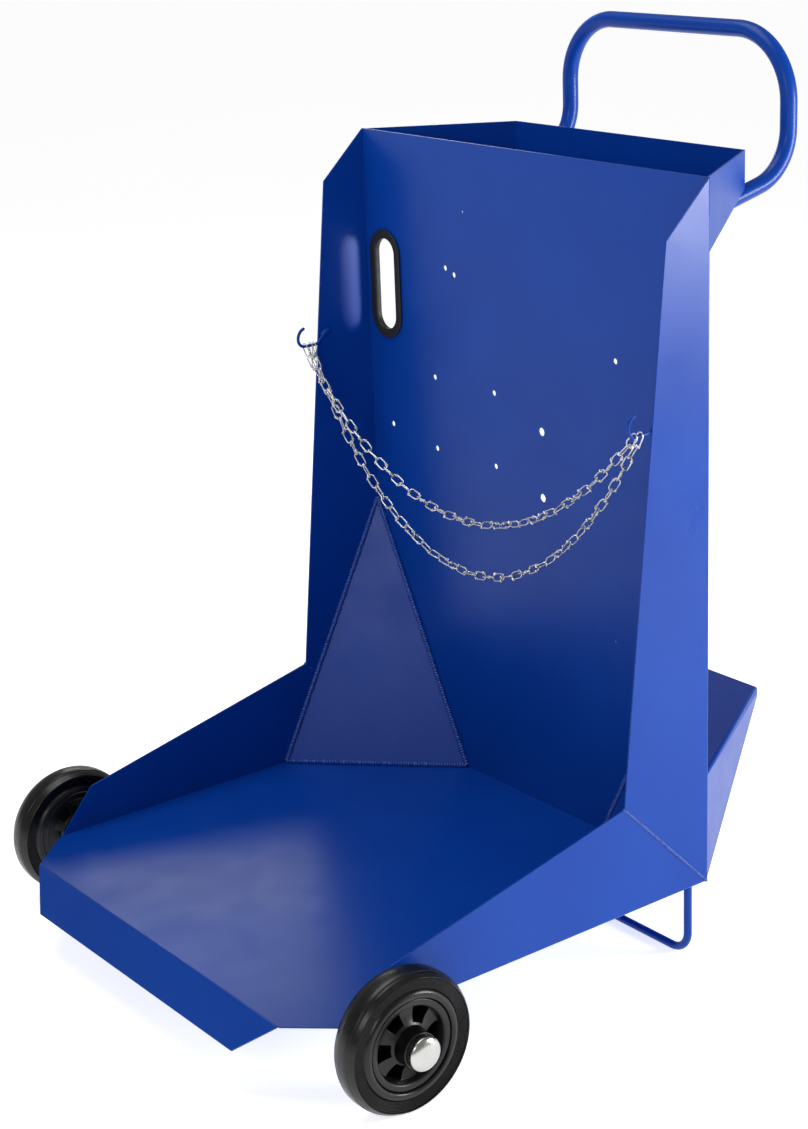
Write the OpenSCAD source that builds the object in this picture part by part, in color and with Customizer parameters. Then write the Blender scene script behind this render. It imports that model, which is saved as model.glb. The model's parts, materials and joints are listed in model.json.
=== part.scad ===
// Two-wheeled cart for oxygen and acetylene cylinders.
// Frame: +Z up, +Y towards the person pushing, +X to the right, ground at z = 0.
// The loading lip is at the front, the tool tray and the push handle are at the back.
// A sheet of the body is drawn with sharp corners first, and its folds are rounded after.

/* [Sheet metal body] */
// Thickness of the body sheets
sheet_t = 2.5; // [2:0.5:4]
// Outside radius of the folds
fold_r = 5; // [3:0.5:6]
// Outside width of the body
body_w = 772; // [700:2:820]
// Height of the floor's top face above the ground
floor_h = 116; // [114:1:124]
// Depth of the floor from the back plate to the lip fold
floor_depth = 709; // [660:1:760]
// Length of the side folds, from the back plate forwards
side_fold_len = 634; // [590:1:650]
// Width of the floor at the lip fold
lip_w = 637; // [560:1:680]
// Width of the lip's free edge
lip_end_w = 515; // [420:1:550]
// Length of the lip down its slope
lip_len = 60; // [30:1:75]
// Slope of the lip below the floor
lip_angle = 53; // [30:1:70]
// Height of the back plate above the floor
back_h = 1021; // [900:1:1100]
// Reach of each wing at its lower front corner
wing_low_reach = 161; // [130:1:200]
// Height of that corner above the floor
wing_low_h = 161; // [130:1:200]
// Reach of each wing at its upper front corner
wing_top_reach = 79; // [60:1:120]
// Height of that corner above the floor
wing_top_h = 947; // [800:1:950]
// Reach of each side panel at its front corner
panel_reach = 576; // [540:1:580]
// Height of each side panel at its front corner
panel_h = 66; // [40:1:90]

/* [Corner gussets] */
// Height of each gusset above the floor
gusset_h = 415; // [300:1:430]
// Width of each gusset along the back plate
gusset_w = 217; // [180:1:225]
// Reach of each gusset along the side fold
gusset_reach = 212; // [180:1:240]

/* [Tool tray] */
// Depth of the tray behind the back plate
tray_depth = 202; // [150:1:220]
// Width of the tray at its back
tray_back_w = 500; // [490:1:560]
// Height of the tray at its back wall
tray_back_h = 55; // [40:1:70]
// Height of the tray at the back plate
tray_front_h = 103; // [100:1:140]

/* [Rear shelf] */
// Height of the shelf's top above the floor
shelf_h = 166; // [140:1:200]
// Depth of the shelf behind the back plate
shelf_depth = 295; // [240:1:300]
// Width of the shelf at its back
shelf_back_w = 390; // [340:1:440]
// Height of the shelf's back lip
shelf_lip = 17; // [10:1:30]

/* [Push handle] */
// Outside diameter of the handle tube
tube_d = 25; // [22:1:26]
// Wall of the handle tube
tube_wall = 2; // [1.5:0.5:3]
// Distance between the handle's upright legs
handle_w = 472; // [440:1:474]
// Distance of the upright legs behind the back plate
handle_reach = 304; // [295:1:320]
// Height of the grip bar above the tray's rim
grip_rise = 154; // [130:1:200]
// Bend radius at the grip's corners
grip_bend_r = 100; // [60:1:110]
// Bend radius at the foot of the upright legs
leg_bend_r = 78; // [60:1:80]

/* [Hand slot and plate holes] */
// Distance of the hand slot's centre to the left of the middle
slot_x = 335; // [300:1:336]
// Height of the hand slot's centre above the floor
slot_h = 779; // [700:1:800]
// Width of the slot cut in the plate
slot_w = 58; // [50:1:58]
// Length of the slot cut in the plate
slot_len = 156; // [120:1:170]
// Width of the rubber edging on the plate
edging_w = 9; // [6:0.5:9]
// Height of the edging above each face of the plate
edging_rise = 4; // [2:0.5:6]
// Width of the accessory hole pattern
holes_w = 145; // [120:1:160]
// Height of the accessory hole pattern
holes_h = 116; // [100:1:130]
// Diameter of the accessory holes
hole_d = 9; // [5:0.5:10]
// Diameter of the two larger holes
large_hole_d = 13; // [8:0.5:14]

/* [Chain] */
// Wire of the chain links
link_wire = 2.4; // [2:0.1:2.4]
// Pitch of the chain
link_pitch = 21.8; // [21.4:0.1:22]
// Inside width of a link
link_gap = 6; // [5.8:0.1:6.4]
// Links in the upper strand, an odd number
upper_links = 41; // [41:2:45]
// Links in the lower strand
lower_links = 46; // [44:1:50]
// Wire of the two hooks
hook_wire = 5; // [4:0.5:5]
// Height of the hooks' seats above the floor
hook_h = 692; // [640:1:720]

/* [Wheels] */
// Outside diameter of the tyres
wheel_d = 200; // [200:1:200]
// Width of the tyres
tyre_w = 46; // [40:1:50]
// Distance between the middles of the two tyres
track = 856; // [850:1:880]
// Distance of the axle in front of the back plate
axle_reach = 591; // [560:1:600]
// Diameter of the axle
axle_d = 20; // [20:1:20]
// Radius where the tyre meets the rim
rim_r = 64.5; // [60:0.5:68]
// Length of the wheel hub
hub_len = 75; // [70:1:75]
// Outside diameter of the wheel hub
hub_d = 51; // [46:1:54]
// Diameter of the push-on end caps
cap_d = 48; // [40:1:50]

/* [Foot] */
// Diameter of the foot's rod
foot_d = 12; // [10:1:14]
// Distance between the foot's legs
foot_w = 752; // [700:1:754]
// Distance of the foot in front of the back plate
foot_reach = 30; // [20:1:60]
// Bend radius of the foot's corners
foot_bend_r = 32; // [20:1:40]

/* [Hidden] */
$fn = 48;

BLUE = [0.05, 0.13, 0.45];
ZINC = [0.75, 0.76, 0.78];
BLACK = [0.10, 0.10, 0.10];
STEEL = [0.60, 0.62, 0.65];

half_w = body_w / 2;
rim_z = floor_h + back_h;
floor_under = floor_h - sheet_t;
axle_z = wheel_d / 2;
far = 2000;
// Overlap between bent and straight pieces of one solid, and how much fatter the straight piece is there
lap = 0.3;
skin = 0.01;

// Distance of the back plate's front face behind the middle of the cart's footprint
plate_y = 214;

// ---- helpers ----

// Moves a piece, drawn with the back plate's front face at y = 0, to its place about the footprint's middle
module in_frame() {
  translate([0, plate_y, 0]) children();
}

// Mirror image in x for the left side, as drawn for the right side
module on_side(side) {
  scale([side, 1, 1]) children();
}

// Prism along x of an outline given as [y, z] points
module prism_x(x0, x1, outline) {
  translate([x0, 0, 0]) rotate([90, 0, 90]) linear_extrude(x1 - x0) polygon(outline);
}

// Prism along z of an outline given as [x, y] points
module prism_z(z0, z1, outline) {
  translate([0, 0, z0]) linear_extrude(z1 - z0) polygon(outline);
}

// Waste outside a rounded edge along z, whose corner is at the origin and whose metal is at -x, -y
module edge_waste(r, len) {
  translate([0, 0, -1]) linear_extrude(len + 2) difference() {
    translate([-r, -r]) square(r + 1);
    translate([-r, -r]) circle(r);
  }
}

// ---- body sheets ----

// Seam where a wing meets a side panel, as a line of [y, z] points from the rear corner up
seam_foot = [0, floor_h];
seam_head = [-wing_low_reach, floor_h + wing_low_h];

// Floor with its two side panels and the loading lip, folded from one sheet
module floor_sheet() {
  flat = [[-half_w, 0], [-half_w, -side_fold_len], [-lip_w / 2, -floor_depth],
          [lip_w / 2, -floor_depth], [half_w, -side_fold_len], [half_w, 0]];
  panel = [[-side_fold_len, floor_under], [-panel_reach, floor_h + panel_h], seam_head, seam_foot,
           [0, floor_under]];
  color(BLUE) {
    difference() {
      union() {
        prism_z(floor_under, floor_h, flat);
        for (side = [-1, 1]) on_side(side) prism_x(half_w - sheet_t, half_w, panel);
      }
      for (side = [-1, 1]) on_side(side)
        translate([half_w, 1, floor_under]) rotate([90, 0, 0]) mirror([0, 1, 0])
          edge_waste(fold_r, side_fold_len + 1);
    }
    lip();
  }
}

// Loading lip with its rounded fold, sloping down and forwards
module lip() {
  ring_in = fold_r - sheet_t;
  setback = fold_r * tan(lip_angle / 2);
  bevel = (lip_w - lip_end_w) / 2 / lip_len;
  fold_w = lip_w - 2 * bevel * setback;
  translate([0, lap - floor_depth, floor_h - fold_r]) {
    rotate([90, 0, 90]) translate([0, 0, -fold_w / 2])
      rotate([0, 0, 90]) rotate_extrude(angle = lip_angle, $fn = 96)
        translate([ring_in, 0]) square([sheet_t, fold_w]);
    rotate([lip_angle, 0, 0]) translate([0, 0, ring_in])
      linear_extrude(sheet_t)
        polygon([[-fold_w / 2, lap], [-lip_end_w / 2, setback - lip_len],
                 [lip_end_w / 2, setback - lip_len], [fold_w / 2, lap]]);
  }
}

// Accessory holes in the back plate, as [x, height above the floor, diameter]
pattern_x = -147;
pattern_h = 588;
PLATE_HOLES = concat(
  [for (sx = [-1, 1], sz = [-1, 1]) [pattern_x + sx * holes_w / 2, pattern_h + sz * holes_h / 2, hole_d]],
  [[35, 606, large_hole_d], [35, 503, large_hole_d]],
  [[-185, 824, hole_d], [-164, 816, hole_d], [198, 741, hole_d], [-333, 549, hole_d],
   [-139, 916, hole_d / 2], [194, 316, hole_d / 2]]);

// Outline of the hand slot grown by a margin
module slot_outline(grow) {
  r = slot_w / 2 + grow;
  straight = slot_len / 2 - slot_w / 2;
  translate([-slot_x, floor_h + slot_h]) {
    square([2 * r, 2 * straight], center = true);
    for (s = [-1, 1]) translate([0, s * straight]) circle(r);
  }
}

// Back plate with its two tapering wings, folded from one sheet
module back_sheet() {
  wing = [seam_foot, [sheet_t, floor_h], [sheet_t, rim_z], [0, rim_z],
          [-wing_top_reach, floor_h + wing_top_h], seam_head];
  color(BLUE) difference() {
    union() {
      translate([-half_w, 0, floor_under]) cube([body_w, sheet_t, rim_z - floor_under]);
      for (side = [-1, 1]) on_side(side) prism_x(half_w - sheet_t, half_w, wing);
    }
    for (side = [-1, 1]) on_side(side)
      translate([half_w, sheet_t, floor_under]) edge_waste(fold_r, rim_z - floor_under);
    translate([0, sheet_t + 1, 0]) rotate([90, 0, 0]) linear_extrude(sheet_t + 2) slot_outline(0);
    for (h = PLATE_HOLES)
      translate([h[0], -1, floor_h + h[1]]) rotate([-90, 0, 0]) cylinder(d = h[2], h = sheet_t + 2);
  }
}

// Flat three-cornered plate closing the corner of floor, side and back on the right
module right_gusset_plate() {
  base = norm([gusset_w, gusset_reach]);
  set_in = gusset_w * gusset_reach / base;
  rise = norm([gusset_h, set_in]);
  corner_x = half_w - sheet_t;
  apex = gusset_reach * gusset_reach / base;
  color(BLUE)
    translate([corner_x, -gusset_reach, floor_h])
      rotate([0, 0, atan2(gusset_reach, -gusset_w)])
        rotate([180 - atan2(gusset_h, set_in), 0, 0]) translate([0, 0, -sheet_t])
          linear_extrude(sheet_t) polygon([[0, 0], [base, 0], [apex, rise]]);
}

module left_gusset() {
  on_side(-1) right_gusset_plate();
}

module right_gusset() {
  right_gusset_plate();
}

// Half width at y of a pocket behind the back plate that narrows from front_w to back_w over depth
function half_at(front_w, back_w, depth, y) = front_w / 2 - (front_w - back_w) / 2 * (y - sheet_t) / depth;

// Plan of such a pocket from y0 to y1, with its side walls moved in by inset
function pocket_plan(front_w, back_w, depth, inset, y0, y1) =
  let (h0 = half_at(front_w, back_w, depth, y0) - inset, h1 = half_at(front_w, back_w, depth, y1) - inset)
  [[-h0, y0], [h0, y0], [h1, y1], [-h1, y1]];

// Width that one side wall of such a pocket takes up in x
function wall_x(front_w, back_w, depth) = sheet_t / cos(atan2((front_w - back_w) / 2, depth));

// Waste outside the rounded folds between the top at height z and the two side walls of such a pocket
module side_fold_waste(front_w, back_w, depth, z) {
  step_in = (front_w - back_w) / 2;
  for (side = [-1, 1]) on_side(side)
    translate([front_w / 2, sheet_t, z]) rotate([0, 0, atan2(step_in, depth)]) rotate([90, 0, 0])
      mirror([0, 0, 1]) edge_waste(fold_r, norm([step_in, depth]));
}

// Open tool tray behind the top of the back plate; its bottom slopes down to the plate
module tool_tray() {
  y0 = sheet_t;
  y1 = y0 + tray_depth;
  front_w = body_w - 2 * fold_r;
  inset = wall_x(front_w, tray_back_w, tray_depth);
  slope = (tray_front_h - tray_back_h) / tray_depth;
  bottom_t = sheet_t * sqrt(1 + slope * slope);
  outside = [[y0, rim_z - tray_front_h], [y1, rim_z - tray_back_h], [y1, rim_z], [y0, rim_z]];
  inside = [[y0 - 1, rim_z - tray_front_h + bottom_t - slope], [y1, rim_z - tray_back_h + bottom_t],
            [y1, rim_z + 1], [y0 - 1, rim_z + 1]];
  color(BLUE) difference() {
    intersection() {
      prism_z(floor_h, rim_z, pocket_plan(front_w, tray_back_w, tray_depth, 0, y0, y1));
      prism_x(-half_w, half_w, outside);
    }
    intersection() {
      prism_z(floor_h, rim_z + 1, pocket_plan(front_w, tray_back_w, tray_depth, inset, y0 - 1, y1 - sheet_t));
      prism_x(-half_w, half_w, inside);
    }
  }
}

// Shelf low behind the back plate: top, back lip and two tapering cheeks folded from one sheet
module rear_shelf() {
  y0 = sheet_t;
  y1 = y0 + shelf_depth;
  front_w = body_w - 2 * fold_r;
  top = floor_h + shelf_h;
  inset = wall_x(front_w, shelf_back_w, shelf_depth);
  color(BLUE) difference() {
    intersection() {
      prism_z(floor_under, top, pocket_plan(front_w, shelf_back_w, shelf_depth, 0, y0, y1));
      prism_x(-half_w, half_w, [[y0, floor_under], [y1, top - shelf_lip], [y1, top], [y0, top]]);
    }
    prism_z(0, top - sheet_t, pocket_plan(front_w, shelf_back_w, shelf_depth, inset, y0 - 1, y1 - sheet_t));
    side_fold_waste(front_w, shelf_back_w, shelf_depth, top);
    translate([-half_w, y1, top]) rotate([90, 0, 90]) edge_waste(fold_r, body_w);
  }
}

// ---- handle and foot ----

tray_slope = atan2(tray_front_h - tray_back_h, tray_depth);
grip_z = rim_z + grip_rise;

// Height of the handle's sloping legs, which lie against the underside of the tray
function leg_z(y) = rim_z - tray_front_h + (y - sheet_t) * tan(tray_slope) - tube_d / 2 / cos(tray_slope);

// Cross-section of the handle's tube; grow makes the wall thicker on both faces
module tube_ring(grow = 0) {
  difference() {
    circle(r = tube_d / 2 + grow);
    circle(r = tube_d / 2 - tube_wall - grow);
  }
}

// Bend of the handle's tube through angle turn, around the origin in the x-y plane
module tube_bend(bend_r, turn) {
  rotate_extrude(angle = turn) translate([bend_r, 0]) tube_ring();
}

// Bent tube that the cart is pushed by; its legs lie under the tray and end at the back plate
module handle() {
  leg_y = sheet_t + handle_reach;
  half = handle_w / 2;
  turn = 90 - tray_slope;
  setback = leg_bend_r * tan(turn / 2);
  start_y = sheet_t + 12;
  upright_z = leg_z(leg_y) + setback;
  color(BLUE) {
    for (side = [-1, 1]) on_side(side) {
      translate([half, leg_y - leg_bend_r, upright_z]) rotate([90, 0, 90]) rotate([0, 0, -turn]) {
        tube_bend(leg_bend_r, turn);
        translate([leg_bend_r, 0, 0]) rotate([90, 0, 0])
          linear_extrude((leg_y - start_y) / cos(tray_slope) - setback) tube_ring();
      }
      translate([half, leg_y, upright_z - lap])
        linear_extrude(grip_z - grip_bend_r - upright_z + 2 * lap) tube_ring(skin);
      translate([half - grip_bend_r, leg_y, grip_z - grip_bend_r]) rotate([90, 0, 0])
        tube_bend(grip_bend_r, 90);
    }
    translate([grip_bend_r - half, leg_y, grip_z]) rotate([0, 90, 0])
      linear_extrude(handle_w - 2 * grip_bend_r) tube_ring();
  }
}

// U-shaped rod that the back of the cart stands on
module foot() {
  r = foot_d / 2;
  half = foot_w / 2;
  color(BLUE) translate([0, -foot_reach, 0]) {
    for (side = [-1, 1]) on_side(side) {
      translate([half, 0, r + foot_bend_r]) cylinder(r = r, h = floor_under - r - foot_bend_r);
      translate([half - foot_bend_r, 0, r + foot_bend_r]) rotate([90, 0, 0]) rotate([0, 0, -90])
        rotate_extrude(angle = 90) translate([foot_bend_r, 0]) circle(r);
    }
    translate([foot_bend_r - half, 0, r]) rotate([0, 90, 0]) cylinder(r = r, h = foot_w - 2 * foot_bend_r);
  }
}

// ---- slot edging ----

// Rubber channel pushed over the edge of the hand slot
module slot_edging() {
  lip_in = 6;
  color(BLACK) difference() {
    translate([0, sheet_t + edging_rise, 0]) rotate([90, 0, 0])
      linear_extrude(sheet_t + 2 * edging_rise) difference() {
        slot_outline(edging_w);
        slot_outline(-lip_in);
      }
    translate([0, sheet_t, 0]) rotate([90, 0, 0]) linear_extrude(sheet_t) difference() {
      slot_outline(edging_w + 1);
      slot_outline(0);
    }
  }
}

// ---- hooks and chain ----

seat_z = floor_h + hook_h;
hook_x = half_w - sheet_t - hook_wire / 2;
upper_y = -133.5;
lower_y = -122.5;
spare_y = -115.3;
seat_front = -136;

// Open hook of round wire along the right wing; the chain hangs on its level shank
module hook() {
  r = hook_wire / 2;
  seat_len = 54;
  curl_r = 9;
  upright = 8;
  mouth_r = 13;
  mouth_angle = 120;
  color(BLUE) translate([hook_x, 0, 0]) rotate([90, 0, 90]) {
    translate([seat_front, seat_z]) rotate([0, 90, 0]) cylinder(r = r, h = seat_len);
    translate([seat_front, seat_z + curl_r]) rotate([0, 0, 180])
      rotate_extrude(angle = 90) translate([curl_r, 0]) circle(r);
    translate([seat_front - curl_r, seat_z + curl_r]) rotate([-90, 0, 0]) cylinder(r = r, h = upright);
    translate([seat_front - curl_r + mouth_r, seat_z + curl_r + upright]) mirror([1, 0, 0])
      rotate_extrude(angle = mouth_angle) translate([mouth_r, 0]) circle(r);
  }
}

module left_hook() {
  on_side(-1) hook();
}

module right_hook() {
  hook();
}

link_play = 0.5;
link_inside = link_pitch + link_play;
end_r = (link_gap + link_wire) / 2;
// Distance from an end link's centre to the hook wire that it hangs on
hang = link_inside / 2 - hook_wire / 2 - 0.75;

// One closed wire link, its length along x and its loop in the x-z plane
module chain_link() {
  straight = link_inside - link_gap;
  for (s = [-1, 1]) {
    translate([-straight / 2, 0, s * end_r]) rotate([0, 90, 0])
      cylinder(d = link_wire, h = straight, $fn = 16);
    translate([s * straight / 2, 0, 0]) rotate([90, s * 90, 0])
      rotate_extrude(angle = 180, $fn = 24) translate([end_r, 0]) circle(d = link_wire, $fn = 16);
  }
}

function asinh(v) = ln(v + sqrt(v * v + 1));

// Scale of the catenary of half length s whose half span is a, found by halving an interval
function catenary_c(a, s, low, high, steps) =
  let (c = (low + high) / 2)
  steps == 0 ? c :
  c * asinh(s / c) > a ? catenary_c(a, s, low, c, steps - 1) : catenary_c(a, s, c, high, steps - 1);

// Strand of links hanging between the two hooks, in the plane at y
module strand(count, y) {
  half_len = (count - 1) / 2 * link_pitch + hang;
  c = catenary_c(hook_x, half_len, 50, 5000, 40);
  sag = sqrt(c * c + half_len * half_len) - c;
  turn = round((count - 1) / 2) * 180 / (count - 1);
  for (i = [0:count - 1]) {
    s = (i - (count - 1) / 2) * link_pitch;
    translate([c * asinh(s / c), y, seat_z - sag + sqrt(c * c + s * s) - c])
      rotate([0, -atan(s / c), 0]) rotate([turn * i, 0, 0]) chain_link();
  }
}

module upper_chain() {
  color(ZINC) strand(upper_links, upper_y);
}

module lower_chain() {
  color(ZINC) strand(lower_links, lower_y);
}

// Two links left over at the end of the chain, hanging free on the left hook
module spare_links() {
  color(ZINC) for (i = [0, 1])
    translate([-hook_x, spare_y, seat_z - hang - i * link_pitch])
      rotate([0, 0, 90 * i]) rotate([0, 90, 0]) chain_link();
}

// ---- axle and wheels ----

tyre_mid = track / 2;
hub_in = tyre_mid - 37;
hub_out = hub_in + hub_len;
bracket_x = 366;
bracket_t = 6;
washer_t = 2.5;
cap_skirt = 6;
cap_rise = 9;
cap_wall = 1.2;
roller_r = 2.45;
fit = 0.05;
bore_r = axle_d / 2 + 2 * roller_r + 2 * fit;
side_gap = 0.3;
cap_base = hub_out + side_gap + washer_t + 0.2;
axle_end = cap_base + cap_skirt;

// Places a piece drawn along z on the right wheel's axis, starting at x
module on_axle(x) {
  translate([x, -axle_reach, axle_z]) rotate([0, 90, 0]) children();
}

// Fixed rod that both wheels turn on
module axle() {
  color(STEEL) on_axle(-axle_end) cylinder(d = axle_d, h = 2 * axle_end);
}

// Bracket plate under the floor that the axle is welded through
module axle_bracket() {
  eye_r = 13;
  foot_half = 32;
  foot_h = 5;
  color(BLUE) difference() {
    union() {
      prism_x(bracket_x, bracket_x + bracket_t, [
        [-axle_reach - foot_half, floor_under], [-axle_reach - foot_half, floor_under - foot_h],
        [-axle_reach - eye_r + 2, axle_z - 3], [-axle_reach + eye_r - 2, axle_z - 3],
        [-axle_reach + foot_half, floor_under - foot_h], [-axle_reach + foot_half, floor_under]]);
      on_axle(bracket_x) cylinder(r = eye_r, h = bracket_t);
    }
    on_axle(bracket_x - 1) cylinder(d = axle_d, h = bracket_t + 2);
  }
}

module left_axle_bracket() {
  on_side(-1) axle_bracket();
}

module right_axle_bracket() {
  axle_bracket();
}

// Solid rubber tyre with a stepped sidewall; [radius, distance from the tyre's middle plane]
module tyre() {
  R = wheel_d / 2;
  h = tyre_w / 2;
  wall = [[rim_r, h - 3], [rim_r + 1.5, h - 1], [rim_r + 5, h - 0.6], [rim_r + 6.5, h - 2.6],
          [R - 20, h - 3.6], [R - 17, h - 2.6], [R - 16, h - 2.8], [R - 13, h - 1.6], [R - 12, h - 1.8],
          [R - 8.5, h], [R - 5.5, h], [R - 5, h - 1.4], [R - 2, h - 2.6], [R - 0.6, h - 6], [R, h - 11]];
  other = [for (i = [len(wall) - 1:-1:0]) [wall[i][0], -wall[i][1]]];
  color(BLACK) on_axle(tyre_mid) rotate_extrude($fn = 128) polygon(concat(wall, other));
}

// Plastic wheel centre: rim, web with six windows, and a long hub
module rim() {
  h = tyre_w / 2;
  web_t = 9;
  window_in = 31;
  window_out = 52;
  spread = 34;
  section = [[rim_r, h - 3.2], [rim_r - 1.5, h - 2], [rim_r - 8, h - 2.4], [rim_r - 10.5, h - 9],
             [rim_r - 12, web_t / 2], [hub_d / 2 + 4, web_t / 2], [hub_d / 2, web_t / 2 + 6]];
  outer = concat(section, [[hub_d / 2, hub_out - tyre_mid - 1], [hub_d / 2 - 1, hub_out - tyre_mid],
                           [bore_r, hub_out - tyre_mid]]);
  mirrored = [for (i = [len(section) - 1:-1:0]) [section[i][0], -section[i][1]]];
  inner = concat([[bore_r, hub_in - tyre_mid], [hub_d / 2 - 1, hub_in - tyre_mid],
                  [hub_d / 2, hub_in - tyre_mid + 1]], mirrored);
  color(BLACK) on_axle(tyre_mid) difference() {
    rotate_extrude($fn = 128) polygon(concat(outer, inner));
    for (i = [0:5]) rotate([0, 0, 60 * i]) translate([0, 0, -h]) linear_extrude(2 * h) intersection() {
      difference() {
        circle(window_out);
        circle(window_in);
      }
      polygon([[0, 0], [far * cos(spread / 2), far * sin(spread / 2)],
               [far * cos(spread / 2), -far * sin(spread / 2)]]);
    }
  }
}

rollers = 12;
roller_circle = axle_d / 2 + fit + roller_r;
roller_len = hub_len - 20;

// Needle rollers between the axle and the hub
module wheel_rollers() {
  color(STEEL) on_axle(hub_in + 10) for (i = [0:rollers - 1])
    rotate([0, 0, 360 / rollers * i]) translate([roller_circle, 0, 0]) cylinder(r = roller_r, h = roller_len);
}

// Plastic cage that spaces the rollers
module roller_cage() {
  ring = 4;
  color(BLACK) on_axle(hub_in + 10 - ring) difference() {
    cylinder(r = roller_circle + 1.3, h = roller_len + 2 * ring);
    translate([0, 0, -1]) cylinder(r = roller_circle - 1.3, h = roller_len + 2 * ring + 2);
    for (i = [0:rollers - 1]) rotate([0, 0, 360 / rollers * i])
      translate([roller_circle, 0, ring - 0.2]) cylinder(r = roller_r + 0.1, h = roller_len + 0.4);
  }
}

// Tube on the axle between the bracket and the inner washer
module spacer() {
  x0 = bracket_x + bracket_t;
  color(STEEL) on_axle(x0) difference() {
    cylinder(r = axle_d / 2 + 3, h = hub_in - side_gap - washer_t - x0);
    translate([0, 0, -1]) cylinder(d = axle_d, h = far);
  }
}

// Flat washer on the axle starting at x
module washer(x, r) {
  color(ZINC) on_axle(x) difference() {
    cylinder(r = r, h = washer_t);
    translate([0, 0, -1]) cylinder(d = axle_d, h = washer_t + 2);
  }
}

// Domed cap pushed onto the end of the axle
module cap() {
  r = cap_d / 2;
  dome_r = (r * r + cap_rise * cap_rise) / 2 / cap_rise;
  color(ZINC) on_axle(cap_base) difference() {
    union() {
      cylinder(r = r, h = cap_skirt);
      translate([0, 0, cap_skirt]) intersection() {
        cylinder(r = r, h = cap_rise);
        translate([0, 0, cap_rise - dome_r]) sphere(dome_r, $fn = 128);
      }
    }
    translate([0, 0, -1]) cylinder(r = r - cap_wall, h = cap_skirt + 1 - 1.5);
    translate([0, 0, -1]) cylinder(d = axle_d, h = cap_skirt + 1);
  }
}

module right_tyre() {
  tyre();
}

module right_rim() {
  rim();
}

module right_roller_cage() {
  roller_cage();
}

module right_rollers() {
  wheel_rollers();
}

module right_spacer() {
  spacer();
}

module right_inner_washer() {
  washer(hub_in - side_gap - washer_t, 16);
}

module right_outer_washer() {
  washer(hub_out + side_gap, 21);
}

module right_cap() {
  cap();
}

module left_tyre() {
  on_side(-1) tyre();
}

module left_rim() {
  on_side(-1) rim();
}

module left_roller_cage() {
  on_side(-1) roller_cage();
}

module left_rollers() {
  on_side(-1) wheel_rollers();
}

module left_spacer() {
  on_side(-1) spacer();
}

module left_inner_washer() {
  on_side(-1) washer(hub_in - side_gap - washer_t, 16);
}

module left_outer_washer() {
  on_side(-1) washer(hub_out + side_gap, 21);
}

module left_cap() {
  on_side(-1) cap();
}

in_frame() floor_sheet();
in_frame() back_sheet();
in_frame() left_gusset();
in_frame() right_gusset();
in_frame() tool_tray();
in_frame() rear_shelf();
in_frame() handle();
in_frame() foot();
in_frame() slot_edging();
in_frame() axle();
in_frame() left_axle_bracket();
in_frame() right_axle_bracket();
in_frame() left_hook();
in_frame() right_hook();
in_frame() upper_chain();
in_frame() lower_chain();
in_frame() spare_links();
in_frame() left_tyre();
in_frame() left_rim();
in_frame() left_roller_cage();
in_frame() left_rollers();
in_frame() left_spacer();
in_frame() left_inner_washer();
in_frame() left_outer_washer();
in_frame() left_cap();
in_frame() right_tyre();
in_frame() right_rim();
in_frame() right_roller_cage();
in_frame() right_rollers();
in_frame() right_spacer();
in_frame() right_inner_washer();
in_frame() right_outer_washer();
in_frame() right_cap();
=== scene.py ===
import json
import math
import random

import bpy
import numpy as np
from mathutils import Matrix, Vector


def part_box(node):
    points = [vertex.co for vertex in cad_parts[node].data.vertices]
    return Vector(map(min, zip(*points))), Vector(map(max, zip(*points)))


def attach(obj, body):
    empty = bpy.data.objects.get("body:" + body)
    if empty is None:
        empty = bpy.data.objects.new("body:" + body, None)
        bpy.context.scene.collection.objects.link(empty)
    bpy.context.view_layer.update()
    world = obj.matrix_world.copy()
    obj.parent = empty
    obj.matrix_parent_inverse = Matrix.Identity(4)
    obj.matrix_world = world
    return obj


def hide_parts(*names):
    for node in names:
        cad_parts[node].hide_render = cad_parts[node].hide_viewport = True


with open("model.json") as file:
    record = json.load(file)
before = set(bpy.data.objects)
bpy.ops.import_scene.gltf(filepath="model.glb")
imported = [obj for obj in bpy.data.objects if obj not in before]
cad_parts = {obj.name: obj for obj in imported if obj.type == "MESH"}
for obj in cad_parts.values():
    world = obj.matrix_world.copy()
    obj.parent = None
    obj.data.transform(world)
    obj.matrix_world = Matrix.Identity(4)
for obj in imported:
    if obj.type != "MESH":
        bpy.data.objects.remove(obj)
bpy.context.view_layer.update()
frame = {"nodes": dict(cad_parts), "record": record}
nodes = frame["nodes"]

# Lengths are in metres, except in the outlines, which are in millimetres until metres() turns them.
SIDES = {"left": -1, "right": 1}
PLATE_Y = 0.214  # front face of the back plate
FLOOR_TOP = 0.116
SHEET = 0.0025


# ---- meshes ----


def metres(outline):
    return [(a / 1000, b / 1000) for a, b in outline]


def piece(name, verts, faces, material, body, slot):
    """Smooth-shaded object that rides a body of the frame, with edges above 50 degrees kept sharp."""
    mesh = bpy.data.meshes.new(name)
    mesh.from_pydata([tuple(v) for v in verts], [], [tuple(f) for f in faces])
    mesh.update()
    mesh.polygons.foreach_set("use_smooth", [True] * len(mesh.polygons))
    mesh.set_sharp_from_angle(angle=math.radians(50))
    mesh.materials.append(material)
    obj = bpy.data.objects.new(name, mesh)
    bpy.context.scene.collection.objects.link(obj)
    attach(obj, body)
    return obj


def soften(obj, width, angle):
    """Round the edges that are sharper than the angle in degrees."""
    edge = obj.modifiers.new("edge", "BEVEL")
    edge.width = width
    edge.segments = 2
    edge.limit_method = "ANGLE"
    edge.angle_limit = math.radians(angle)
    edge.harden_normals = True


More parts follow.
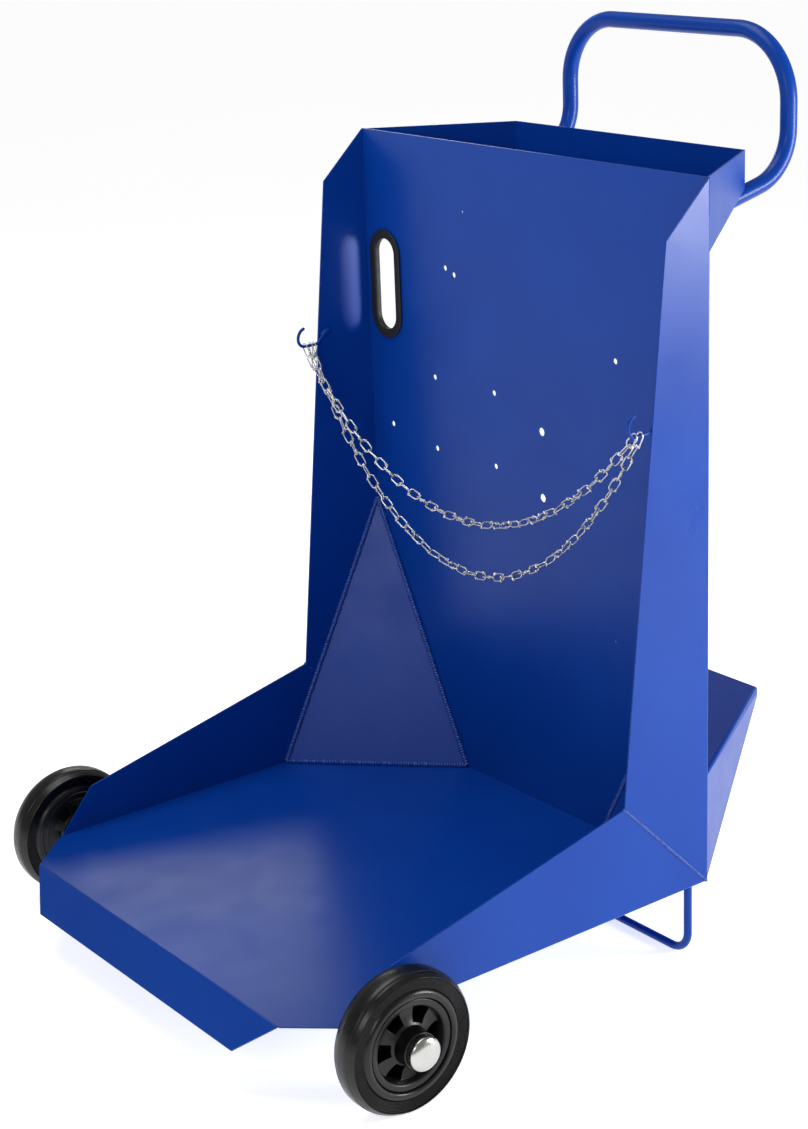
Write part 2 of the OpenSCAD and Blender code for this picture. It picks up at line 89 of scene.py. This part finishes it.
def spline(points, steps, closed=True):
    """Points of a Catmull-Rom curve through the given points."""
    p = np.array(points, float)
    n = len(p)
    spans = n if closed else n - 1
    out = []
    for i in range(spans):
        if closed:
            a, b, c, d = p[i - 1], p[i], p[(i + 1) % n], p[(i + 2) % n]
        else:
            a, b, c, d = p[max(i - 1, 0)], p[i], p[i + 1], p[min(i + 2, n - 1)]
        square = 2 * a - 5 * b + 4 * c - d
        cube = 3 * b - a - 3 * c + d
        for t in np.arange(steps) / steps:
            out.append(0.5 * (2 * b + (c - a) * t + square * t**2 + cube * t**3))
    if not closed:
        out.append(p[-1])
    return np.array(out)


def tube(path, radii, sides=8, closed=False):
    """Vertices and faces of a round tube along a path, with one radius in all or one for each point."""
    path = np.array(path, float)
    n = len(path)
    radii = np.broadcast_to(radii, (n,))
    if closed:
        tangents = np.roll(path, -1, 0) - np.roll(path, 1, 0)
    else:
        tangents = np.gradient(path, axis=0)
    tangents /= np.linalg.norm(tangents, axis=1)[:, None]
    helper = np.eye(3)[np.argmin(np.abs(tangents[0]))]
    normal = np.cross(tangents[0], helper)
    normals = []
    for t in tangents:
        normal = normal - t * (normal @ t)
        normal = normal / np.linalg.norm(normal)
        normals.append(normal)
    angles = np.arange(sides) * 2 * math.pi / sides
    if closed:
        end = normals[-1] - tangents[0] * (normals[-1] @ tangents[0])
        end /= np.linalg.norm(end)
        twist = math.atan2(np.cross(normals[0], end) @ tangents[0], normals[0] @ end)
    else:
        twist = 0.0
    verts, faces = [], []
    for i in range(n):
        side = np.cross(tangents[i], normals[i])
        a = angles - twist * i / n
        ring = np.cos(a)[:, None] * normals[i] + np.sin(a)[:, None] * side
        verts.extend(path[i] + radii[i] * ring)
    for i in range(n if closed else n - 1):
        j = (i + 1) % n
        for k in range(sides):
            m = (k + 1) % sides
            faces.append((i * sides + k, i * sides + m, j * sides + m, j * sides + k))
    if not closed:
        faces.append(tuple(range(sides))[::-1])
        faces.append(tuple((n - 1) * sides + k for k in range(sides)))
    return verts, faces


def joined(parts):
    """One list of vertices and one of faces for several meshes."""
    verts, faces = [], []
    for part_verts, part_faces in parts:
        base = len(verts)
        verts.extend(part_verts)
        faces.extend(tuple(i + base for i in face) for face in part_faces)
    return verts, faces


def lathe(profile, centre, side, segments=160):
    """Solid turned about the X axis through centre; profile is [radius, distance outwards]."""
    verts, faces = [], []
    n = len(profile)
    for i in range(segments):
        a = 2 * math.pi * i / segments
        for r, x in profile:
            verts.append((centre[0] + side * x, centre[1] + r * math.cos(a), centre[2] + r * math.sin(a)))
    for i in range(segments):
        j = (i + 1) % segments
        for k in range(n):
            m = (k + 1) % n
            quad = (i * n + k, i * n + m, j * n + m, j * n + k)
            faces.append(quad if side > 0 else quad[::-1])
    return verts, faces


def rounded(profile, r, steps):
    """A closed outline whose corners are rounded to r, or to less where a side is short."""
    share = 0.45  # of a side, at most, that one of its corners takes
    out = []
    n = len(profile)
    for i in range(n):
        p, a, b = (Vector(profile[k % n]) for k in (i, i - 1, i + 1))
        cut = min(r, (a - p).length * share, (b - p).length * share)
        start = p + (a - p).normalized() * cut
        end = p + (b - p).normalized() * cut
        for s in range(steps + 1):
            t = s / steps
            q = start * (1 - t) ** 2 + p * 2 * t * (1 - t) + end * t**2
            out.append((q.x, q.y))
    return out


# ---- materials ----


def new_material(name):
    material = bpy.data.materials.new(name)
    material.use_nodes = True
    tree = material.node_tree
    return material, tree, tree.nodes["Principled BSDF"], tree.nodes.new("ShaderNodeTexCoord")


def noise(tree, coords, scale, detail, rough=0.5, stretch=None):
    tex = tree.nodes.new("ShaderNodeTexNoise")
    tex.inputs["Scale"].default_value = scale
    tex.inputs["Detail"].default_value = detail
    tex.inputs["Roughness"].default_value = rough
    source = coords.outputs["Object"]
    if stretch:
        mapping = tree.nodes.new("ShaderNodeMapping")
        mapping.inputs["Scale"].default_value = stretch
        tree.links.new(source, mapping.inputs["Vector"])
        source = mapping.outputs["Vector"]
    tree.links.new(source, tex.inputs["Vector"])
    return tex.outputs["Fac"]


def ramp(tree, fac, low, high):
    """Colour ramp between two stops, each a place and a grey or an RGB colour."""
    node = tree.nodes.new("ShaderNodeValToRGB")
    for element, (at, value) in zip(node.color_ramp.elements, (low, high)):
        element.position = at
        element.color = (*value, 1.0) if isinstance(value, tuple) else (value, value, value, 1.0)
    tree.links.new(fac, node.inputs["Fac"])
    return node.outputs["Color"]


def bump(tree, shader, height, strength, distance, before=None):
    node = tree.nodes.new("ShaderNodeBump")
    node.inputs["Strength"].default_value = strength
    node.inputs["Distance"].default_value = distance
    tree.links.new(height, node.inputs["Height"])
    if before:
        tree.links.new(before, node.inputs["Normal"])
    tree.links.new(node.outputs["Normal"], shader.inputs["Normal"])
    return node.outputs["Normal"]


def blend_colour(tree, fac, under, over):
    """The colour under, an output socket, with the RGB colour over it where fac is high."""
    node = tree.nodes.new("ShaderNodeMix")
    node.data_type = "RGBA"
    tree.links.new(fac, node.inputs["Factor"])
    tree.links.new(under, node.inputs["A"])
    node.inputs["B"].default_value = (*over, 1.0)
    return node.outputs["Result"]


def powder_coat():
    """Glossy blue powder coat: fine orange peel, soft cloudiness, and a few pale scuffs."""
    material, tree, shader, coords = new_material("blue_powder_coat")
    cloud = noise(tree, coords, 5.0, 3.0)
    colour = ramp(tree, cloud, (0.3, (0.0008, 0.0400, 0.290)), (0.7, (0.0014, 0.0480, 0.330)))
    rubbed = noise(tree, coords, 26.0, 8.0, 0.62, (1.0, 1.0, 0.35))
    scuff = ramp(tree, rubbed, (0.70, 0.0), (0.80, 0.22))
    tree.links.new(blend_colour(tree, scuff, colour, (0.05, 0.11, 0.37)), shader.inputs["Base Color"])
    rough = ramp(tree, noise(tree, coords, 14.0, 6.0, 0.6), (0.25, 0.27), (0.75, 0.36))
    tree.links.new(rough, shader.inputs["Roughness"])
    shader.inputs["Specular IOR Level"].default_value = 0.19
    peel = bump(tree, shader, noise(tree, coords, 620.0, 1.0), 0.10, 0.0003)
    bump(tree, shader, noise(tree, coords, 9.0, 2.0), 0.20, 0.0012, peel)
    return material


def weld_paint_with_painted_highlights():
    """The same blue paint over a rippled weld, more uneven, and a little paler with pale speckles, which are
    painted highlights along the bead.
    """
    material, tree, shader, coords = new_material("blue_weld_paint_with_painted_highlights")
    cloud = noise(tree, coords, 240.0, 3.0)
    # painted highlights: the pale end of this ramp is not the paint's own colour; it speckles the beads with
    # painted glints
    colour = ramp(tree, cloud, (0.3, (0.0040, 0.040, 0.26)), (0.7, (0.030, 0.090, 0.42)))
    tree.links.new(colour, shader.inputs["Base Color"])
    rough = ramp(tree, noise(tree, coords, 160.0, 3.0), (0.3, 0.24), (0.7, 0.40))
    tree.links.new(rough, shader.inputs["Roughness"])
    bump(tree, shader, noise(tree, coords, 700.0, 3.0), 0.35, 0.0004)
    return material


def zinc():
    """Bright zinc plating with cloudy spangle."""
    material, tree, shader, coords = new_material("zinc_plated_wire")
    colour = ramp(tree, noise(tree, coords, 160.0, 4.0), (0.3, (0.52, 0.52, 0.50)), (0.7, (0.80, 0.81, 0.82)))
    tree.links.new(colour, shader.inputs["Base Color"])
    rough = ramp(tree, noise(tree, coords, 420.0, 4.0), (0.3, 0.22), (0.7, 0.42))
    tree.links.new(rough, shader.inputs["Roughness"])
    shader.inputs["Metallic"].default_value = 1.0
    bump(tree, shader, noise(tree, coords, 900.0, 3.0), 0.2, 0.0002)
    return material


def drawn_steel():
    """Bare drawn steel, whose grain runs along X."""
    material, tree, shader, coords = new_material("drawn_steel")
    streaks = noise(tree, coords, 60.0, 5.0, 0.6, (0.08, 1.0, 1.0))
    colour = ramp(tree, streaks, (0.3, (0.40, 0.40, 0.41)), (0.7, (0.58, 0.58, 0.60)))
    tree.links.new(colour, shader.inputs["Base Color"])
    grain = noise(tree, coords, 300.0, 4.0, 0.6, (0.05, 1.0, 1.0))
    tree.links.new(ramp(tree, grain, (0.3, 0.28), (0.7, 0.46)), shader.inputs["Roughness"])
    shader.inputs["Metallic"].default_value = 1.0
    bump(tree, shader, noise(tree, coords, 900.0, 2.0, 0.5, (0.05, 1.0, 1.0)), 0.15, 0.0002)
    return material


def chrome():
    """Polished cap: bright metal with a faint haze of fine scratches."""
    material, tree, shader, coords = new_material("polished_cap")
    colour = ramp(tree, noise(tree, coords, 30.0, 3.0), (0.3, (0.44, 0.44, 0.42)), (0.7, (0.54, 0.54, 0.52)))
    tree.links.new(colour, shader.inputs["Base Color"])
    rough = ramp(tree, noise(tree, coords, 260.0, 6.0, 0.7), (0.3, 0.20), (0.7, 0.30))
    tree.links.new(rough, shader.inputs["Roughness"])
    shader.inputs["Metallic"].default_value = 1.0
    bump(tree, shader, noise(tree, coords, 1200.0, 2.0), 0.05, 0.0001)
    return material


def black(name, low, high, rough_low, rough_high, grain, depth):
    """Black rubber or plastic whose darkest and palest greys are low and high."""
    material, tree, shader, coords = new_material(name)
    colour = ramp(tree, noise(tree, coords, 34.0, 5.0, 0.6), (0.3, low), (0.75, high))
    tree.links.new(colour, shader.inputs["Base Color"])
    rough = ramp(tree, noise(tree, coords, 90.0, 4.0), (0.3, rough_low), (0.7, rough_high))
    tree.links.new(rough, shader.inputs["Roughness"])
    shader.inputs["Specular IOR Level"].default_value = 0.35
    bump(tree, shader, noise(tree, coords, grain, 3.0), 0.25, depth)
    return material


def studio_floor():
    """Near-white floor that glows a little, so that it stays pale under the cart."""
    material, tree, shader, coords = new_material("studio_floor")
    colour = ramp(tree, noise(tree, coords, 0.6, 2.0), (0.3, 0.88), (0.7, 0.90))
    tree.links.new(colour, shader.inputs["Base Color"])
    shader.inputs["Roughness"].default_value = 0.85
    shader.inputs["Emission Color"].default_value = (1.0, 1.0, 1.0, 1.0)
    shader.inputs["Emission Strength"].default_value = 0.72
    return material


PAINT = powder_coat()
WELD = weld_paint_with_painted_highlights()
ZINC = zinc()
STEEL = drawn_steel()
CHROME = chrome()
TYRE = black("tyre_rubber", 0.0030, 0.0060, 0.24, 0.36, 800.0, 0.0001)
PLASTIC = black("wheel_plastic", 0.0018, 0.0040, 0.30, 0.42, 1200.0, 0.0002)
RUBBER = black("edging_rubber", 0.010, 0.018, 0.45, 0.60, 900.0, 0.0002)

BY_SLOT = {
    "blue_paint": PAINT,
    "rubber": RUBBER,
    "steel": STEEL,
    "zinc": ZINC,
    "tyre": TYRE,
    "rim": PLASTIC,
    "chrome": CHROME,
}
SLOTS = {s["node"]: s["material_slot"] for s in frame["record"]["subparts"]}
SHEETS = ("floor_sheet", "back_sheet", "left_gusset", "right_gusset", "tool_tray", "rear_shelf")
EDGE_R = 0.0006  # of the sheets' cut edges and of the moulded rim's edges
for name, obj in nodes.items():
    obj.data.materials.clear()
    obj.data.materials.append(BY_SLOT[SLOTS[name]])
    if name in SHEETS:
        weld = obj.modifiers.new("weld", "WELD")
        weld.merge_threshold = 0.00002
        soften(obj, EDGE_R, 30)


# ---- weld beads ----

RIPPLE = 0.0042  # length of one ripple of a bead
STEPS = 5  # rings in one ripple
SET_IN = 0.003  # how far in front of a sheet a bead's middle runs, so that it never shows on the sheet's back
FILLET_R = 0.0043  # beads inside the body, along the gussets
SEAM_R = 0.0026  # bead up the outside of the wall's seam
SEAM_RUN = 0.163  # how far forwards of the plate the seam's upper end lies
SEAM_RISE = 0.162  # how far it lies above the floor
SEAM_SUNK = 0.0004  # of the seam bead's middle below the wall's outer face
SWAY = 0.12  # sideways wander of a bead, as a share of its radius


def bead(start, end, r, seed):
    """Rippled weld bead from start to end."""
    start, end = np.array(start, float), np.array(end, float)
    length = np.linalg.norm(end - start)
    rng = random.Random(seed)
    count = max(int(length / RIPPLE), 2)
    wobble = [rng.uniform(-1, 1) for _ in range(count + 2)]
    across = np.cross(end - start, [0.3, 0.5, 0.8])  # any direction square to the bead would do
    across /= np.linalg.norm(across)
    path, radii = [], []
    for i in range(count * STEPS + 1):
        t = i / (count * STEPS)
        cell = i // STEPS
        phase = (i % STEPS) / STEPS
        sway = wobble[cell] * (1 - phase) + wobble[cell + 1] * phase
        path.append(start + (end - start) * t + across * sway * r * SWAY)
        radii.append(r * (0.74 + 0.28 * math.sin(math.pi * phase) + 0.14 * sway))
    radii[0] = radii[-1] = r * 0.3
    return tube(path, np.array(radii))


def body_welds(side):
    """The three beads of one gusset and the bead up the wall's seam beside it."""
    gusset_lo, gusset_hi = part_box("right_gusset")
    half_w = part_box("back_sheet")[1].x
    wall = side * (half_w - SHEET - SET_IN)
    apex = (wall, PLATE_Y - SET_IN, gusset_hi.z)
    front = (wall, gusset_lo.y + 0.001, FLOOR_TOP + SET_IN)
    inner = (side * gusset_lo.x, PLATE_Y - SET_IN, FLOOR_TOP + SET_IN)
    seam_x = side * (half_w - SEAM_SUNK)
    seam_top = (seam_x, PLATE_Y - SEAM_RUN, FLOOR_TOP + SEAM_RISE)
    seam_foot = (seam_x, PLATE_Y - 0.002, FLOOR_TOP)
    return joined([
        bead(front, apex, FILLET_R, 11 + side),
        bead(inner, apex, FILLET_R, 21 + side),
        bead(front, inner, FILLET_R, 31 + side),
        bead(seam_top, seam_foot, SEAM_R, 41 + side),
    ])


for name, side in SIDES.items():
    piece(name + "_body_welds", *body_welds(side), WELD, "frame", "blue_paint")


# ---- hand slot edging ----

# The edging's section is a U: [distance outwards from the slot's edge, front to back], in millimetres.
FLANK = 9.0  # reach of its two flanks over the plate
LIP = -5.5  # its closed side, inside the slot
GROOVE = [(FLANK, 2.6), (1.0, 1.2), (1.0, -1.2), (FLANK, -2.6)]  # takes the plate's edge
ARC_STEPS = 24


def slot_edging():
    """Rubber U-section swept round the slot: two straight sides joined by half circles."""
    lo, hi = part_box("slot_edging")
    centre = (lo + hi) / 2
    half_w = (hi.x - lo.x) / 2 - FLANK / 1000
    straight = (hi.z - lo.z) / 2 - FLANK / 1000 - half_w
    half_d = (hi.y - lo.y) / 2 * 1000
    channel = [(FLANK, -half_d), (LIP, -half_d), (LIP, half_d), (FLANK, half_d), *GROOVE]
    section = rounded(metres(channel), 0.0035, 5)
    verts, faces = [], []
    for sign in (1, -1):
        for i in range(ARC_STEPS + 1):
            a = math.pi * i / ARC_STEPS + (0 if sign > 0 else math.pi)
            for out, y in section:
                x = (half_w + out) * math.cos(a)
                z = straight * sign + (half_w + out) * math.sin(a)
                verts.append((centre.x + x, centre.y + y, centre.z + z))
    n = len(section)
    rings = len(verts) // n
    for i in range(rings):
        j = (i + 1) % rings
        for k in range(n):
            m = (k + 1) % n
            faces.append((i * n + k, j * n + k, j * n + m, i * n + m))
    return verts, faces


edging = piece("slot_edging_rubber", *slot_edging(), RUBBER, "frame", "rubber")
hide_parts("slot_edging")


# ---- chain ----

WIRE_R = 0.00104
PITCH = 0.0218  # from one link's middle to the next
# One side of a link's loop, [along, across] in millimetres.
LINK_HALF = 12.5
LINK_SIDE = [
    (-LINK_HALF, 0.0), (-11.5, 2.9), (-9.0, 4.9), (-5.0, 5.4), (0.0, 5.5),
    (5.0, 5.4), (9.0, 4.9), (11.5, 2.9), (LINK_HALF, 0.0),
]
COIL_TURNS = 2
COIL_STEPS = 10  # points in one turn
COIL_R = 0.0017  # from the middle of the loop's wire to the middle of the wound wire
TWIST = math.radians(42)  # how far the middle links are turned about the chain, besides the quarter turns
TWIST_FADE = 7  # links from a hook over which the twist grows to its full angle
ROLL_PLAY = 0.14  # radians by which a link's roll may differ from that
HOOK_R = 0.0025
LINK_INSIDE = 0.0223
LINK_PLAY = 0.00075  # between an end link and the hook's wire
QUARTER = math.pi / 2

hook_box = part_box("right_hook")
hook_x = (hook_box[0].x + hook_box[1].x) / 2
seat_z = hook_box[0].z + (hook_box[1].x - hook_box[0].x) / 2
hang = LINK_INSIDE / 2 - HOOK_R - LINK_PLAY  # from the hook's middle down to the middle of an end link


def link_parts(rng, ends=(1, -1)):
    """One knotted link along X: a loop, with a wire's end wound round it near each of the given ends."""
    outline = LINK_SIDE + [(x, -y) for x, y in LINK_SIDE[-2:0:-1]]
    path = spline([(x, y, 0.0) for x, y in metres(outline)], 4)
    bend = rng.uniform(-0.5, 0.5) / 1000
    path[:, 2] += bend * np.sin(path[:, 0] / (LINK_HALF / 1000) * math.pi)
    parts = [tube(path, WIRE_R, 8, True)]
    for end in ends:
        phase = rng.uniform(0, 2 * math.pi)
        coil = []
        for i in range(COIL_TURNS * COIL_STEPS + 1):
            a = phase + 2 * math.pi * i / COIL_STEPS
            t = i / (COIL_TURNS * COIL_STEPS)
            x = 0.0060 + 0.0034 * t
            y = 0.0053 - 0.0007 * t
            coil.append((end * x, end * (y + COIL_R * math.cos(a)), COIL_R * math.sin(a)))
        parts.append(tube(coil, WIRE_R * 0.85, 6))
    return parts


def placed(parts, matrix):
    m = np.array(matrix)
    return [([m[:3, :3] @ np.array(v) + m[:3, 3] for v in verts], faces) for verts, faces in parts]


def catenary(half_span, half_length):
    """Parameter of the catenary of the given length that hangs over the given span, by halving."""
    low, high = 0.05, 5.0
    for _ in range(60):
        c = (low + high) / 2
        if c * math.asinh(half_length / c) > half_span:
            high = c
        else:
            low = c
    return (low + high) / 2


def strand(node, count, seed):
    """Links hung from hook to hook on a catenary, each a quarter turn on from its neighbour."""
    rng = random.Random(seed)
    lo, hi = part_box(node)
    y = (lo.y + hi.y) / 2
    last = count - 1
    half_length = last / 2 * PITCH + hang
    c = catenary(hook_x, half_length)
    sag = math.hypot(c, half_length) - c
    turn = round(last / 2) * math.pi / last
    parts = []
    for i in range(count):
        s = (i - last / 2) * PITCH
        place = Matrix.Translation((c * math.asinh(s / c), y, seat_z - sag + math.hypot(c, s) - c))
        away = min(i, last - i, TWIST_FADE) / TWIST_FADE
        roll = turn * i + TWIST * away + rng.uniform(-ROLL_PLAY, ROLL_PLAY) * away
        place = place @ Matrix.Rotation(-math.atan(s / c), 4, "Y") @ Matrix.Rotation(roll, 4, "X")
        ends = {0: (1,), last: (-1,)}.get(i, (1, -1))
        parts += placed(link_parts(rng, ends), place @ Matrix.Rotation(QUARTER, 4, "X"))
    return joined(parts)


def spare_links():
    """Two links that hang down from the left hook, the second a quarter turn on from the first."""
    rng = random.Random(7)
    lo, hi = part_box("spare_links")
    parts = []
    for i, end in enumerate((1, -1)):
        place = Matrix.Translation((-hook_x, (lo.y + hi.y) / 2, seat_z - hang - i * PITCH))
        place = place @ Matrix.Rotation(QUARTER * i, 4, "Z")
        place = place @ Matrix.Rotation(QUARTER, 4, "Y") @ Matrix.Rotation(QUARTER, 4, "X")
        parts += placed(link_parts(rng, (end,)), place)
    return joined(parts)


upper = piece("upper_knotted_chain", *strand("upper_chain", 41, 5), ZINC, "upper_strand", "zinc")
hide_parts("upper_chain")
lower = piece("lower_knotted_chain", *strand("lower_chain", 46, 6), ZINC, "lower_strand", "zinc")
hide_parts("lower_chain")
spare = piece("spare_knotted_links", *spare_links(), ZINC, "spare_end", "zinc")
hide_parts("spare_links")


# ---- hooks ----

# The hook's wire from foot to tip, [back from the plate's face, up from the chain's seat] in millimetres.
HOOK = [
    (-92, 17), (-98, 11.5), (-103, 6.2), (-107.5, 2), (-112, 0.2), (-117, 0), (-122, 0), (-131, 0),
    (-136.5, 0.4), (-141, 3), (-144.4, 8), (-145, 14), (-143.4, 20), (-139, 26), (-132, 29.5),
]
# The weld at its foot: [outwards from the hook, back from the plate's face, up from the seat] in millimetres.
LUMP = [(-0.5, -100, 11), (0.5, -92, 16.5), (0.5, -82, 20)]
LUMP_END = [1.6, 3.4, 4.2, 4.5]
LUMP_RADII = LUMP_END + [4.7, 4.6, 4.8, 4.6, 4.7] + LUMP_END[::-1]
TIP_RADII = [2.1, 1.2]


def bent_hook(side):
    path = spline([(side * hook_x, PLATE_Y + y, seat_z + z) for y, z in metres(HOOK)], 6, False)
    radii = np.full(len(path), HOOK_R)
    radii[0] = 0.0022
    radii[-2:] = np.array(TIP_RADII) / 1000
    lump = [
        (side * (hook_x + out / 1000), PLATE_Y + y / 1000, seat_z + z / 1000) for out, y, z in LUMP
    ]
    weld = tube(spline(lump, 6, False), np.array(LUMP_RADII) / 1000, 12)
    return joined([tube(path, radii, 14), weld])


for name, side in SIDES.items():
    hook = piece(name + "_bent_hook", *bent_hook(side), PAINT, "frame", "blue_paint")
    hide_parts(name + "_hook")


# ---- wheels ----

# Outlines of the turned parts are [radius, distance outwards from the wheel's middle plane], in millimetres.
TYRE_BASE = [
    (64.6, 16.0), (64.6, 18.2), (65.0, 20.4), (66.4, 22.2), (68.8, 22.9),
    (71.5, 22.8), (74.0, 21.6), (76.2, 19.4), (77.0, 17.4),
]
RIBS = 8
TYRE_TREAD = [
    (91.8, 18.8), (92.5, 21.4), (93.4, 22.0), (94.2, 21.4), (94.8, 19.4), (96.4, 17.4), (97.6, 15.4),
    (98.2, 12.6), (98.5, 12.2), (98.9, 12.0), (99.3, 11.2), (99.5, 8.0), (99.8, 7.4), (100.0, 6.4),
    (100.0, 0.0),
]
RIM_FACE = [
    (15.4, 38.0), (24.3, 38.0), (25.5, 36.8), (25.5, 20.0), (26.5, 16.5), (30.0, 14.0), (36.0, 11.5),
    (41.0, 10.0), (46.5, 9.4), (51.0, 9.6), (52.6, 12.0), (53.4, 16.5), (55.0, 19.0), (56.5, 19.8),
    (62.6, 20.0), (64.2, 18.6), (64.6, 16.0),
]
HUB_FRONT = 30  # points that lie further out than this belong to the hub's front end
HUB_BACK = -37.0
RIM_BACK = 19.6  # the inner face lies no further in than this, except at the hub
WINDOWS = 6
WINDOW_R = (30, 51)  # the windows' inner and outer radius
WINDOW_HALF = 16  # half a window's width, in degrees
RIM_SEGMENTS = 180
CAP_R = 24.0
CAP_SKIRT = 6.0
CAP_DOME = 9.0
POLE = 0.01  # radius of the pinhole in the cap's middle, where turned faces would shrink to nothing


def tyre_profile():
    """Outline of the tyre, with ribs round its sidewall."""
    face = list(TYRE_BASE)
    for i in range(RIBS):
        r = 77.6 + 1.75 * i
        x = 17.0 + 0.22 * i
        face += [(r, x), (r + 0.25, x + 1.4), (r + 0.85, x + 1.4), (r + 1.1, x)]
    face += TYRE_TREAD
    return metres(face + [(r, -x) for r, x in face[-2::-1]])


def cap_profile(base_x):
    """Outline of the domed cap, whose foot is base_x metres from the cart's middle."""
    dome = []
    for degrees in range(84, -1, -6):
        a = math.radians(degrees)
        dome.append((CAP_R * math.cos(a), CAP_SKIRT + CAP_DOME * math.sin(a)))
    foot = [(CAP_R, 0.6), (23.4, 0.0), (22.6, 0.0), (POLE, 0.0)]
    outline = [(POLE, CAP_SKIRT + CAP_DOME)] + dome + foot
    return [(r, base_x + x) for r, x in metres(outline)]


def rim_mesh(centre, side):
    """Wheel centre with six windows cut through its web, as one closed shell."""
    n = len(RIM_FACE)
    verts, faces = [], []
    for i in range(RIM_SEGMENTS):
        a = 2 * math.pi * i / RIM_SEGMENTS
        front = list(RIM_FACE)
        back = [(r, HUB_BACK if x > HUB_FRONT else -min(x, RIM_BACK)) for r, x in RIM_FACE]
        for r, x in metres(front + back):
            verts.append((centre[0] + side * x, centre[1] + r * math.sin(a), centre[2] + r * math.cos(a)))

    def at(i, k, face):
        return (i % RIM_SEGMENTS) * 2 * n + (n if face < 0 else 0) + k

    def solid(i, k):
        """Whether the web is there in sector i, between the outline's points k and k + 1."""
        r = (RIM_FACE[k][0] + RIM_FACE[k + 1][0]) / 2
        sector = 360 / WINDOWS
        a = (i + 0.5) * 360 / RIM_SEGMENTS
        return not (WINDOW_R[0] < r < WINDOW_R[1] and abs(a % sector - sector / 2) < WINDOW_HALF)

    def add(*quad):
        faces.append(quad if side > 0 else quad[::-1])

    for i in range(RIM_SEGMENTS):
        for k in range(n - 1):
            if not solid(i, k):
                continue
            add(at(i, k, 1), at(i, k + 1, 1), at(i + 1, k + 1, 1), at(i + 1, k, 1))
            add(at(i, k, -1), at(i + 1, k, -1), at(i + 1, k + 1, -1), at(i, k + 1, -1))
            if not solid(i + 1, k):
                add(at(i + 1, k, 1), at(i + 1, k + 1, 1), at(i + 1, k + 1, -1), at(i + 1, k, -1))
            if not solid(i - 1, k):
                add(at(i, k + 1, 1), at(i, k, 1), at(i, k, -1), at(i, k + 1, -1))
            if k + 1 < n - 1 and not solid(i, k + 1):
                add(at(i, k + 1, 1), at(i, k + 1, -1), at(i + 1, k + 1, -1), at(i + 1, k + 1, 1))
            if k and not solid(i, k - 1):
                add(at(i, k, -1), at(i, k, 1), at(i + 1, k, 1), at(i + 1, k, -1))
        add(at(i, 0, -1), at(i, 0, 1), at(i + 1, 0, 1), at(i + 1, 0, -1))
        add(at(i, n - 1, 1), at(i, n - 1, -1), at(i + 1, n - 1, -1), at(i + 1, n - 1, 1))
    return verts, faces


def pocket_back(centre, side):
    """Disc that closes the windows halfway through the wheel's web."""
    outline = [(26.5, -8.0), (54.0, -8.0), (54.0, -10.0), (26.5, -10.0)]
    return lathe(metres(outline), centre, side, 96)


for name, side in SIDES.items():
    lo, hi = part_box(name + "_tyre")
    centre = (lo + hi) / 2
    body = name + "_wheel"
    tyre = piece(name + "_moulded_tyre", *lathe(tyre_profile(), centre, side), TYRE, body, "tyre")
    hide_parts(name + "_tyre")
    shell = joined([rim_mesh(centre, side), pocket_back(centre, side)])
    rim = piece(name + "_moulded_rim", *shell, PLASTIC, body, "rim")
    soften(rim, EDGE_R, 35)
    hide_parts(name + "_rim")
    cap_foot = min(abs(corner.x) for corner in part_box(name + "_cap"))
    dome = lathe(cap_profile(cap_foot), (0.0, centre.y, centre.z), side)
    cap = piece(name + "_pressed_cap", *dome, CHROME, "frame", "chrome")
    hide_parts(name + "_cap")


# ---- studio ----

WHITE = (1.0, 1.0, 1.0, 1.0)
FLOOR_HALF = 30
floor_mesh = bpy.data.meshes.new("studio_floor")
corners = [(x * FLOOR_HALF, y * FLOOR_HALF, 0) for x, y in ((-1, -1), (1, -1), (1, 1), (-1, 1))]
floor_mesh.from_pydata(corners, [], [(0, 1, 2, 3)])
floor_mesh.materials.append(studio_floor())
floor = bpy.data.objects.new("studio_floor", floor_mesh)
bpy.context.scene.collection.objects.link(floor)

world = bpy.data.worlds.new("studio")
world.use_nodes = True
world.node_tree.nodes["Background"].inputs["Color"].default_value = WHITE
world.node_tree.nodes["Background"].inputs["Strength"].default_value = 0.28
bpy.context.scene.world = world


def softbox(name, at, towards, size, watts):
    light = bpy.data.lights.new(name, "AREA")
    light.shape = "RECTANGLE"
    light.size, light.size_y = size
    light.energy = watts
    obj = bpy.data.objects.new(name, light)
    obj.location = at
    obj.rotation_mode = "QUATERNION"
    obj.rotation_quaternion = (Vector(towards) - Vector(at)).to_track_quat("-Z", "Y")
    bpy.context.scene.collection.objects.link(obj)


softbox("right_rear", (2.15, 1.85, 0.95), (0.386, 0.15, 1.0), (0.8, 0.7), 66)
softbox("left_rear", (-2.7, 1.5, 1.7), (-0.1, -0.25, 0.1), (1.6, 1.0), 12)
softbox("front", (1.5, -2.7, 1.9), (-0.1, 0.1, 0.5), (1.0, 0.8), 18)
softbox("top", (-0.5, -0.4, 3.2), (0.0, -0.1, 0.4), (2.2, 1.6), 42)


# ---- camera ----

EYE = (2.5286, -1.9167, 1.6212)
PAN, TILT, ROLL = (math.radians(a) for a in (53.49, 72.4, -2.33))
camera = bpy.data.cameras.new("camera")
camera.lens = 72.6
camera.sensor_width = 36.0
camera.shift_x = 0.0112
camera.shift_y = -0.0332
camera.clip_end = 100.0
eye = bpy.data.objects.new("camera", camera)
aim = Matrix.Rotation(PAN, 4, "Z") @ Matrix.Rotation(TILT, 4, "X") @ Matrix.Rotation(ROLL, 4, "Z")
eye.matrix_world = Matrix.Translation(EYE) @ aim
bpy.context.scene.collection.objects.link(eye)
bpy.context.scene.camera = eye
bpy.context.scene.view_settings.view_transform = "Standard"
